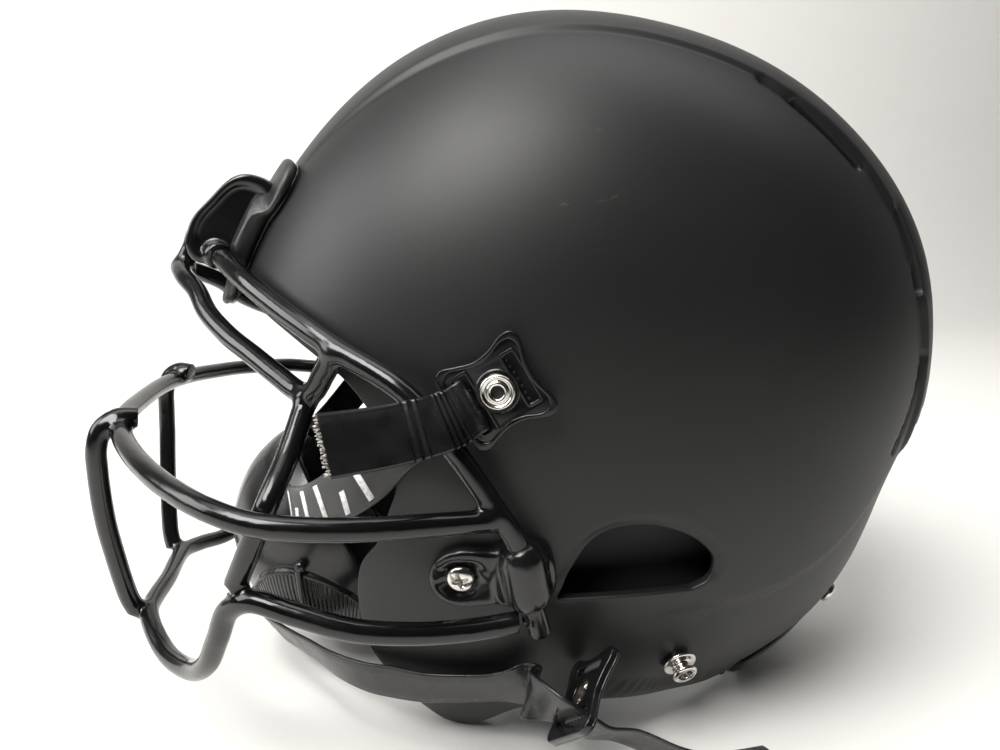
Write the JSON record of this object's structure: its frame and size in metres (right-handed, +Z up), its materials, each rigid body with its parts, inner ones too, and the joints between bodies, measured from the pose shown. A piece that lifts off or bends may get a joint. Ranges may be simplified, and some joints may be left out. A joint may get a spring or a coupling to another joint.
{
  "type": "american football helmet",
  "caption": "Hard-shell football helmet with a welded wire face guard, padded liner, vents, bumpers and a chin cup on snap-fastened straps.",
  "frame": {"origin": "middle of the bounding box, on the floor the helmet stands on", "axes": "+Z up, the face looks along -Y, the wearer's left is +X"},
  "size_m": [0.3068, 0.3522, 0.2906],
  "materials": {
    "matte_shell": "matte black moulded polycarbonate, lightly scuffed",
    "bumper_rubber": "satin black rubber",
    "coated_wire": "glossy black vinyl-coated steel wire",
    "nickel": "bright nickel plate",
    "gloss_black": "glossy black moulded plastic",
    "webbing": "black woven nylon webbing",
    "pad_cover": "soft black cover over foam"
  },
  "bodies": {
    "helmet": {"shell": "matte_shell", "front_bumper": "bumper_rubber", "rear_bumper": "bumper_rubber", "brow_bar": "coated_wire", "eye_bar": "coated_wire", "cage_bar": "coated_wire", "jaw_bar": "coated_wire", "centre_post": "coated_wire", "side_post_left": "coated_wire", "side_post_right": "coated_wire", "front_bar_left": "coated_wire", "front_bar_right": "coated_wire", "upper_snap_stud_left": "nickel", "upper_snap_stud_right": "nickel", "lower_snap_stud_left": "nickel", "lower_snap_stud_right": "nickel", "side_clip_screw_left": "nickel", "side_clip_screw_right": "nickel", "side_clip_nut_left": "nickel", "side_clip_nut_right": "nickel", "rear_bumper_screw_left": "nickel", "rear_bumper_screw_right": "nickel", "rear_bumper_nut_left": "nickel", "rear_bumper_nut_right": "nickel", "side_clip_left": "gloss_black", "side_clip_right": "gloss_black", "top_clip_left": "gloss_black", "top_clip_right": "gloss_black", "front_pad": "pad_cover", "crown_pad": "pad_cover", "rear_pad": "pad_cover", "side_pad_left": "pad_cover", "side_pad_right": "pad_cover", "jaw_pad_left": "pad_cover", "jaw_pad_right": "pad_cover"},
    "chin_strap": {"chin_cup": "gloss_black", "chin_pad": "pad_cover", "lower_strap": "webbing", "upper_strap_left": "webbing", "upper_strap_right": "webbing", "upper_buckle_left": "gloss_black", "upper_buckle_right": "gloss_black", "upper_snap_socket_left": "nickel", "upper_snap_socket_right": "nickel"},
    "lower_buckle_left": {"lower_buckle_left": "gloss_black", "lower_snap_socket_left": "nickel"},
    "lower_buckle_right": {"lower_buckle_right": "gloss_black", "lower_snap_socket_right": "nickel"}
  },
  "joints": [
    {"name": "chin_strap_swing", "type": "hinge", "parent": "helmet", "child": "chin_strap", "pos_m": [0, -0.024, 0.151], "axis": [1, 0, 0], "range_deg": [-9, 3]},
    {"name": "lower_buckle_left_slide", "type": "slide", "parent": "chin_strap", "child": "lower_buckle_left", "axis": [0.1681, 0.8234, -0.5419], "range_m": [-0.001, 0.005]},
    {"name": "lower_buckle_right_slide", "type": "slide", "parent": "chin_strap", "child": "lower_buckle_right", "axis": [-0.1681, 0.8234, -0.5419], "range_m": [-0.001, 0.005]}
  ]
}
